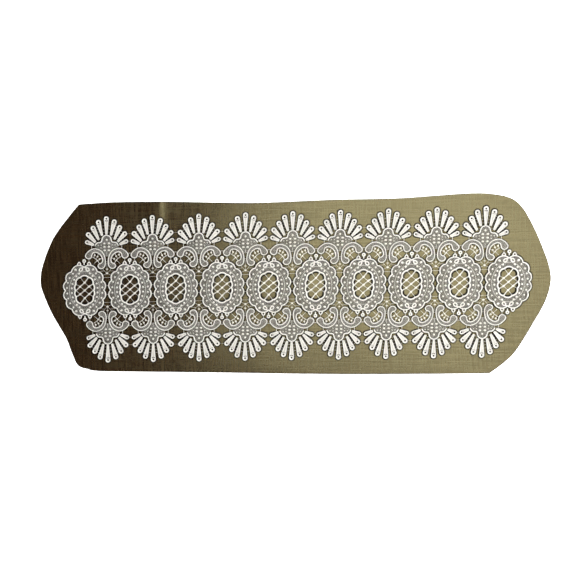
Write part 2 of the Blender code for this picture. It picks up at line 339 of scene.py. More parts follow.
def woven_cloth(name, warp, weft, roughness):
    """Polyester linen-look cloth, plain woven: two yarn colours, streaky slubs and a fine woven bump.

    The weft's share = (lengthwise slubs - crosswise slubs) * contrast + a half.
    """
    material, shader = finish_of(
        name, warp, roughness, Specular_IOR_Level=SHINE, Specular_Tint=linear(SHINE_TINT)
    )
    place = node(material, "ShaderNodeTexCoord").outputs["Object"]
    streaks = []
    for size_x, size_y in SLUBS:
        scale = (1 / size_x, 1 / size_y, 1)
        stretched = node(material, "ShaderNodeMapping", None, {"Vector": place, "Scale": scale})
        cloudy = {"Vector": stretched.outputs["Vector"], "Scale": 1.0, "Detail": 2.0, "Roughness": 0.6}
        streaks.append(node(material, "ShaderNodeTexNoise", None, cloudy).outputs["Fac"])
    minus, scaled, plus = ({"operation": name} for name in ("SUBTRACT", "MULTIPLY_ADD", "ADD"))
    balance = node(material, "ShaderNodeMath", minus, {0: streaks[0], 1: streaks[1]}).outputs[0]
    share = node(material, "ShaderNodeMath", scaled, {0: balance, 1: YARN_CONTRAST, 2: 0.5}).outputs[0]
    yarns = {0: share, 6: linear(warp), 7: linear(weft)}
    colour = node(material, "ShaderNodeMix", {"data_type": "RGBA"}, yarns)
    material.node_tree.links.new(colour.outputs[2], shader.inputs["Base Color"])
    waves = []
    for period in (THREAD_SPACING, SHOWN_WEAVE):
        yarn = {"Vector": place, "Scale": bands(period), "Distortion": 0.8, "Detail": 1.0}
        for axis in "XY":
            wave = node(material, "ShaderNodeTexWave", {"bands_direction": axis}, yarn)
            waves.append(wave.outputs["Fac"])
    pairs = [waves[:2], waves[2:], streaks]
    fine, coarse, slub = (
        node(material, "ShaderNodeMath", plus, {0: one, 1: other}).outputs[0] for one, other in pairs
    )
    bump = None
    for height, depth in ((fine, WEAVE_DEPTH), (coarse, SHOWN_DEPTH), (slub, SLUB_DEPTH)):
        inputs = {"Height": height, "Distance": depth, "Strength": 0.8}
        if bump is not None:
            inputs["Normal"] = bump
        bump = node(material, "ShaderNodeBump", None, inputs).outputs["Normal"]
    material.node_tree.links.new(bump, shader.inputs["Normal"])
    spread = {"Value": slub, "From Min": SLUB_THIN, "From Max": SLUB_THICK}
    spread |= {"To Min": roughness - SMOOTHER, "To Max": roughness + ROUGHER}
    rough = node(material, "ShaderNodeMapRange", None, spread)
    material.node_tree.links.new(rough.outputs["Result"], shader.inputs["Roughness"])
    return material


GROUND_CLOTH = woven_cloth("linen-look polyester, plain woven", "#2c1c0e", "#1b0e06", 0.25)
FACING_CLOTH = woven_cloth("linen-look facing, plain woven", "#2d1e11", "#1d1008", 0.29)
print("cloth finishes:", GROUND_CLOTH.name, "|", FACING_CLOTH.name)

# %% [markdown]
# ## The lace thread's finish
# Guipure lace is stitched in thick white embroidery thread on a base that is washed away afterwards. The
# thread lies side by side across each cord in satin stitch, soft and quite matt. On the lace's UV map, u
# is the distance along a cord, so bands in u are its stitches, and v is the height above the table. The
# colour follows v as painted shade: white on top, greyer on the low bars and net as if the raised cords
# shaded them, and near-black at the foot, a flat underlay that is the lace's painted shadow on the cloth.

# %% Lace and sewing thread
STITCH_SPACING = 0.4 * MM


def stitched_thread(name, colour, spacing, depth, roughness, painted_shade_by_height=None):
    """Thread laid side by side: ridges across the cord every spacing metres.

    The last argument lists (height, colour) pairs of painted shade, darker low down, for a UV map whose v
    is the height in millimetres.
    """
    material, shader = finish_of(name, colour, roughness, Specular_IOR_Level=0.1)
    along = node(material, "ShaderNodeUVMap").outputs["UV"]
    # Painted shade: a colour ramp on the height darkens the low thread
    if painted_shade_by_height:
        height = node(material, "ShaderNodeSeparateXYZ", None, {0: along}).outputs["Y"]
        low, high = painted_shade_by_height[0][0], painted_shade_by_height[-1][0]
        limits = {"Value": height, "From Min": low, "From Max": high}
        span = node(material, "ShaderNodeMapRange", None, limits)
        ramp = node(material, "ShaderNodeValToRGB", None, {"Fac": span.outputs["Result"]})
        stops = ramp.color_ramp.elements
        for level, shade in painted_shade_by_height[1:-1]:
            stops.new((level - low) / (high - low)).color = linear(shade)
        stops[0].color, stops[-1].color = linear(painted_shade_by_height[0][1]), linear(painted_shade_by_height[-1][1])
        material.node_tree.links.new(ramp.outputs["Color"], shader.inputs["Base Color"])
    stitches = {"Vector": along, "Scale": bands(spacing), "Distortion": 0.6, "Detail": 1.0}
    wave = node(material, "ShaderNodeTexWave", {"bands_direction": "X"}, stitches)
    relief = {"Height": wave.outputs["Fac"], "Distance": depth, "Strength": 0.7}
    ridge = node(material, "ShaderNodeBump", None, relief)
    material.node_tree.links.new(ridge.outputs["Normal"], shader.inputs["Normal"])
    return material


# Painted shade by height: a near-black foot for the lace's painted shadow, grey bars and net as if shaded
# by the cords, white tops of knots and cords
LACE_PAINTED_SHADE = [(1.45, "#120d08"), (1.53, "#120d08")]
LACE_PAINTED_SHADE += [(1.60, "#85827b"), (2.15, "#cac7bf"), (2.35, "#cfccc4")]
LACE_PAINTED_SHADE += [(2.60, "#d6d3cc"), (2.80, "#dedbd4"), (3.50, "#e2dfd8")]
LACE_THREAD = stitched_thread(
    "cotton embroidery thread, satin stitched", "#dfdcd5", STITCH_SPACING, 0.08 * MM, 0.62, LACE_PAINTED_SHADE
)
SEWING_THREAD = stitched_thread("polyester sewing thread, spun", "#4b3d28", 0.5 * MM, 0.03 * MM, 0.55)
print("thread finishes:", LACE_THREAD.name, "|", SEWING_THREAD.name)

# %% [markdown]
# ## How the runner lies
# A runner taken out of its fold doesn't lie dead flat. It waves by part of a millimetre, and the old fold
# near its left end stays as a low crease. One height function gives the lie of the cloth, and every
# point of the facings, the stitches and the lace is lifted by it too, so the layers never part or cross.

# %% The lie of the cloth
SKEW = 0.035  # the runner is laid this far out of square: x grows by this much for each metre of y
CREASE_X, CREASE_HEIGHT = -0.2315, 1.5 * MM
CREASE_LEFT, CREASE_RIGHT = 0.030, 0.006
CREASE_LEAST = 0.10  # the share of its height that the crease keeps at the front edge
WAVE_HEIGHT = 0.35 * MM
LONG_WAVE, CROSS_WAVE, SHORT_WAVE = 0.31, 0.24, 0.17  # from crest to crest, in metres


def lie(x, y):
    """How far the cloth is lifted: two slow waves, never below zero, and a crease across its width.

    The crease = height / (1 + (distance / reach) squared), with a long reach to its left and a short one
    to its right, so one side of it is a slope and the other is a step.
    """
    slow = np.sin(x * 2 * np.pi / LONG_WAVE + 3 * y) * np.cos(y * 2 * np.pi / CROSS_WAVE + 0.7)
    quick = np.sin(x * 2 * np.pi / SHORT_WAVE - 9 * y + 1.3)
    away = x - CREASE_X - SKEW * y
    reach = np.where(away < 0, CREASE_LEFT, CREASE_RIGHT)
    share = CREASE_LEAST + (1 - CREASE_LEAST) * np.clip((y + 0.05) / 0.20, 0, 1) ** 2
    return WAVE_HEIGHT * (2 + slow + 0.5 * quick) + CREASE_HEIGHT * share / (1 + (away / reach) ** 2)


def piece_from(name, points, quads, uvs, material, nodes, slot):
    """A smooth-shaded mesh piece from arrays, lifted by the lie of the cloth.

    It rides on the one body, stands for the CAD nodes and takes the given material.
    Its slot argument is not used.
    """
    points = raised(points[:, :2], points[:, 2] + lie(points[:, 0], points[:, 1]))
    mesh = bpy.data.meshes.new(name)
    mesh.vertices.add(len(points))
    mesh.vertices.foreach_set("co", np.ascontiguousarray(points, np.float32).ravel())
    mesh.loops.add(quads.size)
    mesh.loops.foreach_set("vertex_index", quads.astype(np.int32).ravel())
    mesh.polygons.add(len(quads))
    mesh.polygons.foreach_set("loop_start", np.arange(0, quads.size, 4, dtype=np.int32))
    mesh.update(calc_edges=True)
    layer = mesh.uv_layers.new(name="UVMap")
    layer.data.foreach_set("uv", np.ascontiguousarray(uvs, np.float32).ravel())
    mesh.shade_smooth()
    mesh.materials.append(material)
    piece = bpy.data.objects.new(name, mesh)
    bpy.context.scene.collection.objects.link(piece)
    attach(piece, "root")
    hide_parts(*nodes)
    return piece


crease_at_back = float(lie(np.array(CREASE_X), np.array(0.15)))
print("lift of the crease near the back edge:", round(crease_at_back / MM, 2), "mm")

# %% [markdown]
# ## The cloth's outline
# The outline comes from the CAD cloth itself. Its corner points are put in order round the middle, and a
# smooth curve is drawn through them, broken only at the two sharp corners, at the back left and the
# front right. In the other two quarters the long edges turn softly into the ends.


# %% Outline from the CAD cloth
def turning(ring):
    """How sharply a closed ring turns at each point, in degrees."""
    before, after = ring - np.roll(ring, 1, 0), np.roll(ring, -1, 0) - ring
    cross = before[:, 0] * after[:, 1] - before[:, 1] * after[:, 0]
    return np.degrees(np.arctan2(np.abs(cross), (before * after).sum(1)))


def cad_ring(name):
    """The points of a flat CAD node seen from above, clockwise round the middle, each one once."""
    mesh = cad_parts[name].data
    flat = np.empty(len(mesh.vertices) * 3)
    mesh.vertices.foreach_get("co", flat)
    ring = np.unique(np.round(flat.reshape(-1, 3)[:, :2], 6), axis=0)
    return ring[np.argsort(-np.arctan2(ring[:, 1], ring[:, 0]))]


QUARTERS = [(-1, 1), (1, 1), (1, -1), (-1, -1)]  # back left, back right, front right, front left
CORNER_BEYOND = (0.3, 0.09)  # the four corners lie at least this far from the middle along x and y

ring = cad_ring("ground_cloth")
turn_at = turning(ring)
corner_at = []
for quarter in QUARTERS:
    near = (ring * quarter > CORNER_BEYOND).all(1)
    corner_at.append(int(np.argmax(np.where(near, turn_at, -1))))
ring = np.roll(ring, -corner_at[0], 0)
corner_at = [(k - corner_at[0]) % len(ring) for k in corner_at]
print("outline points:", len(ring), "corners at", [tuple(np.round(ring[k], 3)) for k in corner_at])

# %% Four smooth sides
ALONG, ACROSS = 260, 92  # points along each long edge and across each end


def side_between(first, soft, last):
    """One smooth line from a sharp corner to the other, split at the soft corner between them."""
    whole = through(np.take(ring, range(first, last + 1), axis=0, mode="wrap"))
    split = (soft - first) * CURVE_STEPS
    return whole[: split + 1], whole[split:]


back_edge, right_end = side_between(0, corner_at[1], corner_at[2])
front_edge, left_end = side_between(corner_at[2], corner_at[3], len(ring))
sides = [(back_edge, ALONG), (right_end, ACROSS), (front_edge, ALONG), (left_end, ACROSS)]
outline = np.concatenate([evenly(side, count)[:-1] for side, count in sides])
corners = np.cumsum([0, ALONG - 1, ACROSS - 1, ALONG - 1])


def area_of(loop):
    """The area inside a closed loop: half the sum of the cross products of neighbouring points."""
    after = np.roll(loop, -1, 0)
    return abs(float((loop[:, 0] * after[:, 1] - loop[:, 1] * after[:, 0]).sum())) / 2


def inset(loop, distance):
    """A clockwise loop moved inwards: along the mean of the two edge normals, longer at a corner."""
    before, after = loop - np.roll(loop, 1, 0), np.roll(loop, -1, 0) - loop
    mean = (right_of(unit(before)) + right_of(unit(after))) / 2
    return loop + mean * distance / np.maximum((mean**2).sum(1), 0.35)[:, None]


print("cloth area:", round(area_of(outline), 4), "square metres")

# %% [markdown]
# ## The ground cloth
# The cloth is one thin closed shell. A patch between four edges (a Coons patch) carries the grid lines
# smoothly from edge to edge, so the weave of the mesh follows the shape of the cloth. The edge is a
# fold: rings of points run over it in a small half circle, down and back under to the facing. A flat
# sheet with a cut edge would look like paper.

# %% Ground cloth
CLOTH_TOP, CLOTH_UNDER = 1.30 * MM, 0.80 * MM
# The fold, over and back under: how far in from the outline each ring lies, and how high, in mm
FOLD_IN = [1.20, 0.65, 0.30, 0.09, 0.00, 0.09, 0.30, 0.50, 0.56, 0.56, 1.20]
FOLD_HIGH = [1.30, 1.28, 1.18, 0.98, 0.68, 0.36, 0.12, 0.06, 0.10, 0.74, 0.80]


def coons(front, right, back, left):
    """A patch between four edges: front and back run left to right, left and right front to back.

    Point = the blend of front and back + the blend of left and right - the blend of the four corners.
    """
    u = np.linspace(0, 1, len(front))[:, None, None]
    v = np.linspace(0, 1, len(left))[None, :, None]
    ruled = (1 - v) * front[:, None] + v * back[:, None] + (1 - u) * left[None] + u * right[None]
    front_corners = (1 - u) * (1 - v) * front[0] + u * (1 - v) * front[-1]
    return ruled - (front_corners + (1 - u) * v * back[0] + u * v * back[-1])


def rim_numbers(rows, columns):
    """Grid numbers of the patch's edge points, clockwise from the back left corner."""
    grid = np.arange(rows * columns).reshape(rows, columns)
    return np.concatenate([grid[:-1, -1], grid[-1, :0:-1], grid[:0:-1, 0], grid[0, :-1]])


edge = inset(outline, FOLD_IN[0] * MM)
wrapped = np.concatenate([edge, edge[:1]])
back, right, front, left = (wrapped[a : b + 1] for a, b in zip(corners, [*corners[1:], len(edge)]))
patch = coons(front[::-1], right[::-1], back, left).reshape(-1, 2)
patch_quads = lattice(ALONG, ACROSS)[0]
rim = rim_numbers(ALONG, ACROSS)
folds = [raised(inset(outline, d * MM), z * MM) for d, z in zip(FOLD_IN[1:-1], FOLD_HIGH[1:-1])]
cloth_points = np.concatenate([raised(patch, CLOTH_TOP), raised(patch, CLOTH_UNDER), *folds])
# The rings of the fold, from the patch's top rim to its underside's, which the fold's faces join
fold_numbers = 2 * len(patch) + np.arange(len(folds) * len(outline)).reshape(len(folds), -1)
ring_numbers = np.concatenate([rim[None], fold_numbers, rim[None] + len(patch)])
fold_grid = lattice(*ring_numbers.shape, False, True)[0]
fold_quads = ring_numbers.ravel()[fold_grid][:, ::-1]
cloth_quads = np.concatenate([patch_quads, patch_quads[:, ::-1] + len(patch), fold_quads])
cloth_shape = cloth_points, cloth_quads, cloth_points[cloth_quads][..., :2]
cloth = piece_from("ground_cloth_woven", *cloth_shape, GROUND_CLOTH, ["ground_cloth"], "ground_cloth")
print("ground cloth:", len(cloth_quads) * 2, "triangles")

# %% [markdown]
# ## The facings and the slip stitch
# Under the edge, six strips of the same cloth face the raw edge, mitred where they meet, and small slanted
# stitches hold their inner edges to the cloth. They are drawn as strips with a thin rounded edge and
# as short threads, because they are what shows when the runner is turned over.

# %% Facings
FACING_WIDTH, FACING_INSET, FACING_GAP = 20 * MM, 0.6 * MM, 0.3 * MM
FACING_TOP = 0.5 * MM
# Across a facing, from its outer to its inner edge: share of the width, and height
FACING_SHARES = np.array([0, 0.01, 0.03, 0.08, 0.3, 0.6, 0.92, 0.97, 0.99, 1])
FACING_HEIGHTS = np.array([0.25, 0.38, 0.46, 0.50, 0.50, 0.50, 0.50, 0.46, 0.38, 0.25]) * MM

outer_line = inset(outline, FACING_INSET)
inner_line = inset(outline, FACING_INSET + FACING_WIDTH)
right_tip, left_tip = int(np.argmax(outline[:, 0])), int(np.argmin(outline[:, 0]))
breaks = [0, corners[1], right_tip, corners[2], corners[3], left_tip, len(outline)]
facing_names = ["back", "right_back", "right_front", "front", "left_front", "left_back"]


def facing_strip(first, last):
    """A strip between two lines: point = outer + (inner - outer) * share, first the top, then below.

    It is drawn in by the gap at each end. The underside mirrors the top about the middle height.
    """
    stretch = np.arange(first, last + 1) % len(outline)
    rows = (last - first) // 2 + 2
    lines = [evenly(line[stretch], rows) for line in (outer_line, inner_line)]
    for line in lines:
        for end, after in ((0, 1), (-1, -2)):
            step = line[after] - line[end]
            line[end] += step * FACING_GAP / np.linalg.norm(step)
    shares = np.concatenate([FACING_SHARES, FACING_SHARES[-2:0:-1]])
    heights = np.concatenate([FACING_HEIGHTS, FACING_TOP - FACING_HEIGHTS[-2:0:-1]])
    points = raised(lines[0][:, None] + (lines[1] - lines[0])[:, None] * shares[None, :, None], heights)
    return points, tube(rows, len(shares))[:, ::-1]


for name, first, last in zip(facing_names, breaks, breaks[1:]):
    points, quads = facing_strip(int(first), int(last))
    uvs = points[quads][..., :2]
    piece_from(f"facing_strip_{name}", points, quads, uvs, FACING_CLOTH, [f"facing_{name}"], "facing")

# %% Slip stitches
STITCH_STEP, STITCH_REACH, STITCH_THREAD = 8 * MM, 2.4 * MM, 0.4 * MM
STITCH_FORWARD = 0.8  # how far a stitch runs along the edge, as a share of its reach
STITCH_HEIGHTS = (0.15 * MM, 0.55 * MM)


def straight_threads(starts, ends, width, bottom, top):
    """Straight threads between pairs of points, all at once: four corners round each end, and lids."""
    right = right_of(unit(ends - starts))
    span = np.stack([starts, ends], 1)[:, :, None]
    flat = span + (right[:, None] * (width / 2 * THREAD_SECTION[:, 0])[None, :, None])[:, None]
    points = raised(flat, bottom + (top - bottom) * THREAD_SECTION[:, 1])
    around = len(THREAD_SECTION)
    one = tube(2, around)
    long = np.linalg.norm(ends - starts, axis=1) * GRID
    uvs = np.zeros((len(starts), len(one), 4, 2))
    uvs[:, :around, 1:3, 0] = long[:, None, None]
    return points, repeated(one, 2 * around, len(starts)), uvs.reshape(-1, 4, 2)


stitch_line = inset(outline, FACING_INSET + FACING_WIDTH + FACING_GAP + STITCH_THREAD / 2)
stitch_count = int(np.linalg.norm(np.diff(stitch_line, axis=0), axis=1).sum() / STITCH_STEP)
stitch_from = evenly(stitch_line, stitch_count, closed=True)
stitch_ahead = unit(np.roll(stitch_from, -1, 0) - stitch_from)
stitch_in = right_of(stitch_ahead) * STITCH_REACH / 3
stitch_to = stitch_from + stitch_ahead * STITCH_REACH * STITCH_FORWARD + stitch_in
threads = straight_threads(stitch_from - stitch_in, stitch_to, STITCH_THREAD, *STITCH_HEIGHTS)
slip_stitches = piece_from("slip_stitches", *threads, SEWING_THREAD, ["facing_slip_stitch"], "thread")
print("slip stitches:", stitch_count)

# %% [markdown]
# ## What all lace motifs share
# Guipure has no woven ground. Fat satin-stitched cords draw the outlines, a fine net of crossed threads
# fills the shapes, small oval knots sit on the net, and short bars tie one shape to the next. One
# function makes each: a cord, a net, knots and bars. The net is real crossed threads, so the dark ground
# shows through its holes from any side. A flat, near-black underlay lies on the cloth beside the cords and
# under the nets: it is painted shadow, and it keeps the gaps dark.

# %% Heights in the lace
CORD_HEIGHTS = (1.50 * MM, 3.40 * MM)
NET_HEIGHTS = (1.75 * MM, 2.15 * MM)
BAR_HEIGHTS = (1.60 * MM, 2.35 * MM)
KNOT_HEIGHTS = (1.60 * MM, 3.10 * MM)
# Painted shadow: the near-black underlay round the lace lies flat on the cloth at these heights
SHADOW_UNDERLAY_HEIGHTS = (1.40 * MM, 1.52 * MM)
SHADOW_BEYOND_CORD = 1.7  # how far the near-black underlay, a painted shadow, reaches beyond a cord, on the lace grid
PATH_STEP = 1.3  # how far apart a cord's rings are, on the lace grid
END_SHARE = 0.7  # how wide an open cord is at its ends, as a share of its width
KNOT_AROUND = 8


def cord(points, width, heights=CORD_HEIGHTS, closed=False, bent=True, foot=SHADOW_BEYOND_CORD):
    """A stitched cord along points on the lace grid, bent smoothly through them and ringed evenly.

    A full-height cord lies on a flat four-sided sweep, a near-black underlay that is painted shadow. Its
    half width is the cord's plus foot, times the root of 2 to reach that far with its corners.
    """
    path = through(points, closed) if bent else np.asarray(points, float)
    framed = np.concatenate([path, path[:1]]) if closed else path
    long = np.linalg.norm(np.diff(framed, axis=0), axis=1).sum()
    rings = max(6 if closed else 3, round(long / PATH_STEP))
    path = evenly(path, rings, closed)
    half = np.full(len(path), width / 2)
    if not closed:
        half[[0, -1]] *= END_SHARE
    made = swept(path, half, *heights, closed=closed)
    if heights != CORD_HEIGHTS:
        return made
    corner = math.sqrt(2) * (half + foot)
    return gathered([made, swept(path, corner, *SHADOW_UNDERLAY_HEIGHTS, THREAD_SECTION, closed)])


def bars(pairs, width=1.1, heights=BAR_HEIGHTS):
    """Straight bars: each pair is the four numbers of its two ends."""
    ends = np.asarray(pairs, float)
    return straight_threads(ends[:, :2], ends[:, 2:], width, *heights)


def knots(centres, across, along=None, turn=0.0, heights=KNOT_HEIGHTS):
    """Domed knots, all at once: rings at (size, height) of (1, 0), (.95, .45), (.7, .8), (.35, 1)."""
    centres = np.asarray(centres, float)
    size, high = np.array([1, 0.95, 0.7, 0.35]), np.array([0, 0.45, 0.8, 1.0])
    angle = (np.arange(KNOT_AROUND) + 0.5) * 2 * np.pi / KNOT_AROUND
    x = across * np.cos(angle) * size[:, None]
    y = (along or across) * np.sin(angle) * size[:, None]
    flat = centres[:, None] + turned_by(x, y, turn).reshape(-1, 2)[None]
    points = raised(flat, np.repeat(heights[0] + (heights[1] - heights[0]) * high, KNOT_AROUND))
    one = tube(len(size), KNOT_AROUND)[:, ::-1]
    quads = repeated(one, len(size) * KNOT_AROUND, len(centres))
    return points, quads, points[quads][..., :2] * GRID


print("a knot has", len(knots([(0, 0)], 2)[1]), "faces")

# %% The net ground
# On the lace grid: from thread to thread, how thick a thread is, and how far apart it is sampled
NET_SPACING, NET_THREAD, NET_SAMPLE = 2.0, 0.37, 0.4
# How wide each thread of the painted shadow under a net is, on the lace grid
UNDER_NET_SHADOW_WIDTH = 1.7


def inside(points, loops):
    """Which points lie inside: a line from there to the right crosses the loops an odd number of times."""
    x, y = points[..., 0].reshape(-1, 1), points[..., 1].reshape(-1, 1)
    crossings = np.zeros(len(x), int)
    for loop in loops:
        a, b = loop, np.roll(loop, -1, 0)
        spans = (a[:, 1] > y) != (b[:, 1] > y)
        rise = np.where(b[:, 1] == a[:, 1], 1, b[:, 1] - a[:, 1])
        meets = a[:, 0] + (y - a[:, 1]) * (b[:, 0] - a[:, 0]) / rise
        crossings += (spans & (x < meets)).sum(1)
    return (crossings % 2 == 1).reshape(points.shape[:-1])


def net(loops, angles=(45, -45), spacing=NET_SPACING, width=NET_THREAD, heights=NET_HEIGHTS):
    """Crossed straight threads that fill a region: each line is sampled, and kept where it is inside."""
    everything = np.concatenate(loops)
    middle = (everything.max(0) + everything.min(0)) / 2
    reach = np.linalg.norm(np.ptp(everything, axis=0)) / 2 + spacing
    across, along = np.arange(-reach, reach, spacing), np.arange(-reach, reach, NET_SAMPLE)
    made = []
    for angle in angles:
        way = turned_by(1, 0, angle)
        spots = middle - across[:, None, None] * right_of(way) + along[None, :, None] * way
        within = np.pad(inside(spots, loops), ((0, 0), (1, 1))).astype(int)
        change = np.diff(within, axis=1)
        line, first = np.nonzero(change == 1)
        last = np.nonzero(change == -1)[1] - 1
        kept = last > first + 2
        line, first, last = line[kept], first[kept], last[kept]
        made.append(straight_threads(spots[line, first], spots[line, last], width, *heights))
    return gathered(made)


def shadow_under_net(loops):
    """Painted shadow under a net: near-black threads run to and fro, flat on the cloth."""
    return net(loops, (0,), NET_SPACING, UNDER_NET_SHADOW_WIDTH, SHADOW_UNDERLAY_HEIGHTS)


print("a round net of radius 10 has", len(net([circle((0, 0), 10)])[1]), "faces")

# %% [markdown]
# ## The medallion
# Each medallion is an oval plate. Twelve scallops of cord run round its outside, a thick ring of ten
# scallops frames its window, and between them lies a net with two rows of knots. A drop and two small
# triangles stand at its top and foot. One quarter of the drawing is enough, because the rest is
# mirrored. Only the window's threads are not: those that lean one way are thicker than the others.

# %% Medallion lines
OUTER_VALLEYS = [((0, 50), 9.0), ((28.5, 40), 6.2), ((39.5, 20.5), 5.7), ((42, 0), 0)]
INNER_VALLEYS = [((8.7, 28.3), 4.3), ((18.8, 13.5), 2.7), ((19.8, 0), 0)]
INNER_TOP_BULGE = 4.0
LOBE_STEPS = 14  # points on each scallop


def quarter_of_lobes(valleys):
    """A quarter of a scalloped loop, clockwise from the top: an arc from each valley to the next."""
    arcs = [scallop(a, b, bulge, LOBE_STEPS) for (a, bulge), (b, _) in zip(valleys, valleys[1:])]
    return np.concatenate([*arcs, [valleys[-1][0]]])


def whole_loop(quarter):
    """The closed loop of a quarter that ends on y = 0: its mirror images follow it round."""
    right = np.concatenate([quarter, quarter[-2::-1] * (1, -1)])
    left = right[::-1] * (-1, 1)
    left = left[1:] if abs(right[-1, 0]) < 1e-6 else left
    return np.concatenate([right, left[:-1] if abs(right[0, 0]) < 1e-6 else left])


outer_loop = whole_loop(quarter_of_lobes(OUTER_VALLEYS))
inner_first = np.array(INNER_VALLEYS[0][0])
inner_top = scallop(inner_first * (-1, 1), inner_first, INNER_TOP_BULGE, LOBE_STEPS)
inner_loop = whole_loop(np.concatenate([inner_top[LOBE_STEPS // 2 :], quarter_of_lobes(INNER_VALLEYS)]))
print("outer scallops:", len(outer_loop), "points; window:", len(inner_loop), "points")

# %% Medallion
BAND_KNOTS = [(12, 36.5), (18, 31), (23, 23.5), (26.7, 14.5), (28.5, 5)]
RIM_KNOTS = [(19.5, 45), (25.5, 36.5), (33, 27.5), (37, 17), (39, 6)]
LEAF_CENTRE, LEAF_TURN = (7.5, 45.3), -42
DROP_CENTRE, DROP_RING = (0, 63.5), 2.7
MIDDLE_RING = (34, 41)  # half width and half height of the thread between the two rows of knots
# Each cord's width, and how far its near-black underlay, a painted shadow, reaches beyond it
OUTER_CORD, OUTER_FOOT = 2.5, 2.4
WINDOW_CORD, WINDOW_FOOT = 3.2, 3.4
THIN_CORD, THICK_CORD, THICK_HEIGHTS = 1.0, 2.3, (1.60 * MM, 2.50 * MM)
TRIANGLE = [(7.6, 56.2), (11, 61.4), (14.6, 56)]
THICK_NET = [
    [(9, 28), (0, 16.8), (-10, 8.2), (-19, 0)],
    [(18.5, 13.5), (10, 8.2), (0, 0), (-10, -8.2), (-18.5, -13.5)],
    [(19, 0), (10, -8.2), (0, -16.8), (-9, -28)],
]
NET_CROSSINGS = [(0, 16.8), (10, 8.2), (-10, 8.2), (0, 0), (10, -8.2), (-10, -8.2), (0, -16.8)]


def medallion():
    """The whole medallion round (0, 0): loops and net, then a quarter's details and their mirror images."""
    ring_half, ring_high = MIDDLE_RING
    middle_ring = circle((0, 0), ring_high, 72, ring_half / ring_high)
    whole = [
        cord(outer_loop, OUTER_CORD, closed=True, bent=False, foot=OUTER_FOOT),
        cord(inner_loop, WINDOW_CORD, closed=True, bent=False, foot=WINDOW_FOOT),
        cord(middle_ring, THIN_CORD, NET_HEIGHTS, closed=True),
        net([outer_loop, inner_loop]),
        shadow_under_net([outer_loop, inner_loop]),
        knots(NET_CROSSINGS, 3.6, 2.1, 40),
    ]
    for line in THICK_NET:
        whole.append(cord(line, THICK_CORD, THICK_HEIGHTS))
        whole.append(cord(np.array(line) * (-1, 1), THIN_CORD, NET_HEIGHTS))
    quarter = [
        knots(BAND_KNOTS, 2.3, 2.3),
        knots(RIM_KNOTS[1:], 2.1, 2.2),
        knots(RIM_KNOTS[:1], 3.2, 2.5, 25),
        cord(circle(LEAF_CENTRE, 3.0, 18, 1.4, LEAF_TURN), 2.6, closed=True),
        cord(TRIANGLE + [(11, 54.6)], 2.4, closed=True),
    ]
    top = [
        both_sides(quarter),
        cord(circle(DROP_CENTRE, DROP_RING, 16), 3.0, closed=True),
        cord([(0, 62), (0, 59), (0, 55.2)], 2.6, bent=False),
        cord([(-5.5, 49.2), (0, 50), (5.5, 49.2)], 2.2),
    ]
    return gathered([*whole, both_sides(top, 1)])


medallion_shape = medallion()
print("medallion:", 2 * len(medallion_shape[1]), "triangles")

# %% [markdown]
# ## The shell fan
# Nine petals spread from a heart. Each petal is a loop of cord round a padded leaf of satin stitch, which
# has a groove down its middle and an eyelet near its tip. The leaf is a swept section with two crowns
# and a groove, because the light on those crowns is what makes a petal look padded. Ladders of small bars
# fill the gaps between petals.

# %% Petals
SATIN_SECTION = topped_section(
    np.array([1, 0.9, 0.62, 0.3, 0.0, -0.3, -0.62, -0.9, -1]),
    np.array([0.15, 0.60, 1.0, 0.70, 0.25, 0.70, 1.0, 0.60, 0.15]),
)
SATIN_HEIGHTS = (1.55 * MM, 2.75 * MM)
# Root, middle of the round tip, radius of the tip, half width at the root
PETALS = [
    ((0, 119), (0, 153), 4.5, 1.2),
    ((9.6, 117), (17.3, 145.9), 4.5, 1.3),
    ((17, 108.3), (29, 133.4), 4.5, 1.3),
    ((24, 103.2), (39.8, 120.1), 4.4, 1.4),
    ((28, 97.6), (42.6, 103.8), 3.7, 1.5),
]
PETAL_STEPS = 14
EYELET = 1.9  # radius of the hole
EYELET_SHADOW_BEYOND = 0.3  # how far the near-black disc, a painted shadow, reaches beyond an eyelet
LEAF_TO_EYELET, LEAF_TO_CORD = 1.0, 0.9
RIM_UNDER_CORD = 0.4  # how far the cord covers the eyelet's rim
# The petal cord's width, and how far its near-black underlay, a painted shadow, reaches beyond it
PETAL_CORD, PETAL_FOOT = 1.9, 2.3


def petal(root, tip, radius, half_root):
    """A padded petal in a loop of cord: half width = the root's + (the tip's - the root's) * way along."""
    root, tip = np.asarray(root, float), np.asarray(tip, float)
    long = np.linalg.norm(tip - root)
    ahead = unit(tip - root)
    left = -right_of(ahead)
    way = np.linspace(0, 1, PETAL_STEPS)
    half = half_root + (radius - half_root) * way
    spine = root + way[:, None] * (tip - root)
    angle = np.pi / 2 - np.pi * np.arange(1, 12) / 12
    round_end = tip + radius * (np.cos(angle)[:, None] * ahead + np.sin(angle)[:, None] * left)
    out = half[:, None] * left
    rim_line = np.concatenate([spine + out, round_end, (spine - out)[::-1]])
    filled = way[way * long < long - EYELET - LEAF_TO_EYELET]
    leaf_half = np.interp(filled, way, half) - LEAF_TO_CORD
    leaf = swept(root + filled[:, None] * (tip - root), leaf_half, *SATIN_HEIGHTS, SATIN_SECTION)
    rim = radius - RIM_UNDER_CORD
    eye = swept(circle(tip, (rim + EYELET) / 2), (rim - EYELET) / 2, *SATIN_HEIGHTS, closed=True)
    # A near-black disc under the eyelet: painted shadow that makes the hole look dark
    foot = knots([tip], EYELET + EYELET_SHADOW_BEYOND, heights=SHADOW_UNDERLAY_HEIGHTS)
    return gathered([leaf, eye, foot, cord(rim_line, PETAL_CORD, bent=False, foot=PETAL_FOOT)])


print("a petal has", len(petal(*PETALS[1])[1]), "faces")

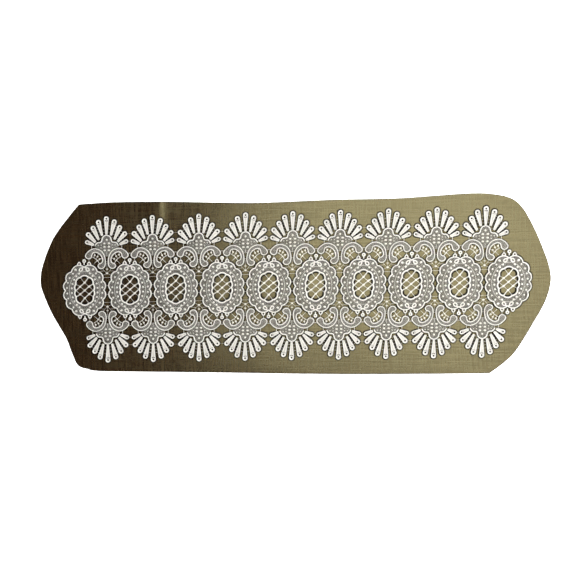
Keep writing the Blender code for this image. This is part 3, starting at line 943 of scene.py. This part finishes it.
# %% Fan
HEART = [(0, 117.8), (5, 116.3), (8.5, 113), (10, 108.5), (11.5, 104)]
HEART += [(15, 102.5), (20, 102), (23.5, 99), (25.5, 95)]
HEART_FOOT = [(25.3, 89.6), (20, 88.6), (14, 85.6), (9, 81), (5, 75.5), (0, 72)]
HEART_KNOTS = [(5, 100.5), (5, 93), (4.5, 85.5)]
HEART_SPOTS = [(12, 97), (12.5, 91), (18.5, 96.5)]
LADDER = [
    [(7, 141.5), (6, 134.5), (5, 127.5), (4.5, 121)],
    [(23, 139), (19.5, 134.5), (17, 129), (14.5, 122.5), (13.2, 115), (12.2, 109)],
    [(35.5, 127.5), (30.5, 123.5), (26, 119), (22.5, 114.5), (20, 109)],
    [(39, 112.5), (33.5, 109.5), (29, 106), (25.5, 103)],
]
LADDER_HALF, LADDER_THREAD = 3.0, 0.4
FAN_BARS = [(33, 97.5, 33, 89)]
FAN_LINKS, LINK_THREAD = [(44.5, 120, 55.5, 120), (47.5, 104, 52.5, 104)], 0.5


def ladder_bars(holes):
    """Small bars across a gap: one between each two holes, square to the line that joins them."""
    holes = np.asarray(holes, float)
    middle = (holes[1:] + holes[:-1]) / 2
    reach = -LADDER_HALF * right_of(unit(np.diff(holes, axis=0)))
    return straight_threads(middle - reach, middle + reach, LADDER_THREAD, *BAR_HEIGHTS)


def fan():
    """The fan above its scrolls: petals, heart and ladders on the right, and their mirror images."""
    heart = np.concatenate([through(HEART), through(HEART_FOOT)])
    loop = np.concatenate([heart, heart[::-1] * (-1, 1)])
    right = [petal(*sizes) for sizes in PETALS[1:]]
    right += [ladder_bars(holes) for holes in LADDER]
    right += [
        cord(HEART, 2.6),
        knots(HEART_KNOTS, 2.9, 2.1),
        knots(HEART_SPOTS, 1.3, heights=BAR_HEIGHTS),
        bars(FAN_BARS, 1.2),
    ]
    middle = [petal(*PETALS[0]), knots([(0, 108)], 2.4), bars([(0, 82, 0, 74)])]
    return gathered([*middle, net([loop]), shadow_under_net([loop]), both_sides(right)])


fan_shape = fan()
linked_fan_shape = gathered([fan_shape, bars(FAN_LINKS, LINK_THREAD, NET_HEIGHTS)])
print("fan:", 2 * len(fan_shape[1]), "triangles")

# %% [markdown]
# ## The pair of scrolls and the knot between medallions
# Below each fan two scrolls curl apart like a ram's horns. Each is a pair of cords with dense net between
# them, which swells into a bulb at both ends. A star of bars fills the gap between two medallions.

# %% Scrolls
SCROLL_OUTER = [(16.5, 57), (19.3, 53), (18.3, 49.3), (14.8, 46.8), (10, 46.8), (6, 49.5), (3.6, 54.5)]
SCROLL_OUTER += [(3.1, 61), (3.8, 68), (6, 75.5), (10.5, 82.5), (16, 86.6), (22, 88.8), (28, 89.4)]
SCROLL_OUTER += [(34, 87.8), (40, 84), (44.5, 79.5), (46.8, 75), (45.5, 71), (41.5, 68.4), (37, 68.4)]
SCROLL_OUTER += [(33.8, 71.5), (32.8, 76)]
SCROLL_INNER = [(16.5, 57), (12.5, 58), (9.8, 61), (9, 66), (11, 72), (14.8, 77), (20, 80.6), (26, 82)]
SCROLL_INNER += [(30.5, 80.5), (32.8, 76)]
SCROLL_KNOTS = [(26.5, 75.5), (20.5, 72.5), (16, 67)]
SCROLL_CHORD = [(16.5, 58), (21, 64), (25, 68), (31.5, 71.8)]
# The two ends of each bar, as four numbers
SCROLL_BARS = [(21, 64, 29, 56.5), (26.5, 75.5, 28.5, 81), (20.5, 72.5, 18, 79), (16, 67, 10.5, 69)]
SCROLL_BARS += [(26.5, 75.5, 29, 70.5), (20.5, 72.5, 24, 67), (16, 67, 19, 61.5), (39.2, 63, 39.6, 69)]
SCROLL_LINK = [(46.3, 78.5, 53.7, 78.5)]
SPIDER_BARS = [(0, 59, 0, 36), (0, 36, 7.5, 32.5), (0, 36, 6, 41.5), (6, 41.5, 20, 40)]
SPIDER_BARS += [(6, 41.5, 9.5, 46.5), (7.5, 32.5, 12, 30), (-0.2, 73.5, 5, 73.5), (-0.2, 61, 3.6, 61)]
SPIDER_BARS += [(-0.2, 27, 8.5, 27), (-0.2, 9.5, 3.8, 9.5)]
SPIDER_THREAD = 0.65
SCROLL_NET = ((20, -70), 2.0, 0.46)  # the two angles, the spacing and the thread


def scroll_pair():
    """The right scroll and its share of the star between medallions, with their mirror images."""
    band = np.concatenate([through(SCROLL_OUTER), through(SCROLL_INNER)[::-1]])
    right = [
        cord(SCROLL_OUTER, 2.1),
        cord(SCROLL_INNER, 2.3),
        net([band], *SCROLL_NET),
        shadow_under_net([band]),
        knots(SCROLL_KNOTS, 2.1, 2.0),
        knots([(21, 64)], 1.7),
        cord(SCROLL_CHORD, 1.4, BAR_HEIGHTS),
        bars(SCROLL_BARS),
        bars(SPIDER_BARS, SPIDER_THREAD),
    ]
    middle = [knots([(0, 36)], 2.8, 2.0), knots([(0, 45)], 2.6, 1.5, heights=BAR_HEIGHTS)]
    return gathered([both_sides(right), *middle])


scroll_shape = scroll_pair()
linked_scroll_shape = gathered([scroll_shape, bars(SCROLL_LINK)])
print("scroll pair:", 2 * len(scroll_shape[1]), "triangles")

# %% [markdown]
# ## Laying the lace on the cloth
# The CAD nodes say where each motif lies. A medallion is the same both ways round, so its CAD box has its
# centre in the middle. Fans and scrolls stand half way between two medallions. The front row is the
# back row turned round by half a turn, as it is when a lace machine works both edges alike.


# %% Place the motifs
def laid(shape, centre, turned):
    """A motif in its place: scaled from the grid to metres, turned round or not, and skewed.

    x = centre + x + skew * y. On the UV map, v becomes the height in millimetres.
    """
    points, quads, uvs = shape
    flat = points[:, :2] * (-GRID if turned else GRID)
    x = centre[0] + flat[:, 0] + SKEW * flat[:, 1]
    uvs = np.stack([uvs[..., 0], points[quads][..., 2] / MM], 2)
    return np.column_stack([x, centre[1] + flat[:, 1], points[:, 2]]), quads, uvs


def motif(name, shape, centre, cad_node, turned=False):
    """One lace motif as its own piece, which stands for its own CAD node."""
    return piece_from(name, *laid(shape, centre, turned), LACE_THREAD, [cad_node], "lace")


medallion_count = sum(name.startswith("medallion_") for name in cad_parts)
boxes = np.array([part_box(f"medallion_{k}") for k in range(1, medallion_count + 1)])
centres = (boxes[:, 0] + boxes[:, 1])[:, :2] / 2
between = (centres[1:] + centres[:-1]) / 2
for k, centre in enumerate(centres, 1):
    motif(f"lace_medallion_{k}", medallion_shape, centre, f"medallion_{k}")
# In each row the motifs link to the next one, so the last one of the row has no link
for k, centre in enumerate(between, 1):
    for row, turned, last in (("back", False, len(between)), ("front", True, 1)):
        fan_kind = fan_shape if k == last else linked_fan_shape
        scroll_kind = scroll_shape if k == last else linked_scroll_shape
        motif(f"lace_fan_{row}_{k}", fan_kind, centre, f"fan_{row}_{k}", turned)
        motif(f"lace_scrolls_{row}_{k}", scroll_kind, centre, f"scrolls_{row}_{k}", turned)

# %% [markdown]
# ## What is a sheet
# The ground cloth and the six facings are sheets of cloth. The runner is laid on a table, and the facings
# lie under it.


# %% [markdown]
# ## The floor and the light
# The floor is a plain pale board that glows faintly. A wide soft light hangs high above the right half,
# where the smooth cloth mirrors it towards the camera: that gives the right half its shine and leaves the
# left half dark, as on real polyester. Low, weak lights from the other sides fill the lace, and stand
# where the cloth doesn't mirror them.

# %% Floor and lights
FLOOR_HALF = 3.0
# What the pale wall far behind gives: next to no light, so the cloth's dark end stays dark, and its looks
WALL_LIGHT, WALL_SEEN = 0.05, 0.95

floor_mesh = bpy.data.meshes.new("floor")
floor_corners = [(x * FLOOR_HALF, y * FLOOR_HALF, 0) for x, y in ((-1, -1), (1, -1), (1, 1), (-1, 1))]
floor_mesh.from_pydata(floor_corners, [], [(0, 1, 2, 3)])
floor = bpy.data.objects.new("floor", floor_mesh)
bpy.context.scene.collection.objects.link(floor)
FLOOR_PAINT, _ = finish_of(
    "pale acrylic light board, matt", "#fdfdfc", 0.9, Specular_IOR_Level=0.1, Emission_Strength=0.9
)
floor_mesh.materials.append(FLOOR_PAINT)


def soft_light(name, place, size, watts, turn=None):
    """A rectangular area light, size metres wide and long, that faces the runner's middle at (0, 0, 0).

    With a turn it faces straight down instead, turned by that many degrees about the vertical.
    """
    data = bpy.data.lights.new(name, "AREA")
    data.shape = "RECTANGLE"
    data.size, data.size_y = size
    data.energy = watts
    light = bpy.data.objects.new(name, data)
    light.location = place
    x, y, z = place
    light.rotation_euler = (math.atan2(math.hypot(x, y), z), 0, math.atan2(x, -y))
    if turn is not None:
        light.rotation_euler = (0, 0, math.radians(turn))
    bpy.context.scene.collection.objects.link(light)
    return light


soft_light("key", (0.475, 0.162, 1.60), (1.42, 1.52), 47, turn=-18)
soft_light("fill_right", (1.5, 0.0, 0.7), (0.8, 0.8), 15)
soft_light("fill_front", (0.8, -2.3, 1.1), (1.8, 1.0), 5)
soft_light("fill_back", (0.8, 2.3, 1.1), (1.8, 1.0), 5)
world = bpy.data.worlds.new("studio")
world.use_nodes = True
backdrop = world.node_tree.nodes["Background"]
backdrop.inputs["Color"].default_value = (1, 1, 1, 1)
seen = node(world, "ShaderNodeLightPath").outputs["Is Camera Ray"]
glow = node(world, "ShaderNodeMapRange", None, {"Value": seen, "To Min": WALL_LIGHT, "To Max": WALL_SEEN})
world.node_tree.links.new(glow.outputs["Result"], backdrop.inputs["Strength"])
bpy.context.scene.world = world
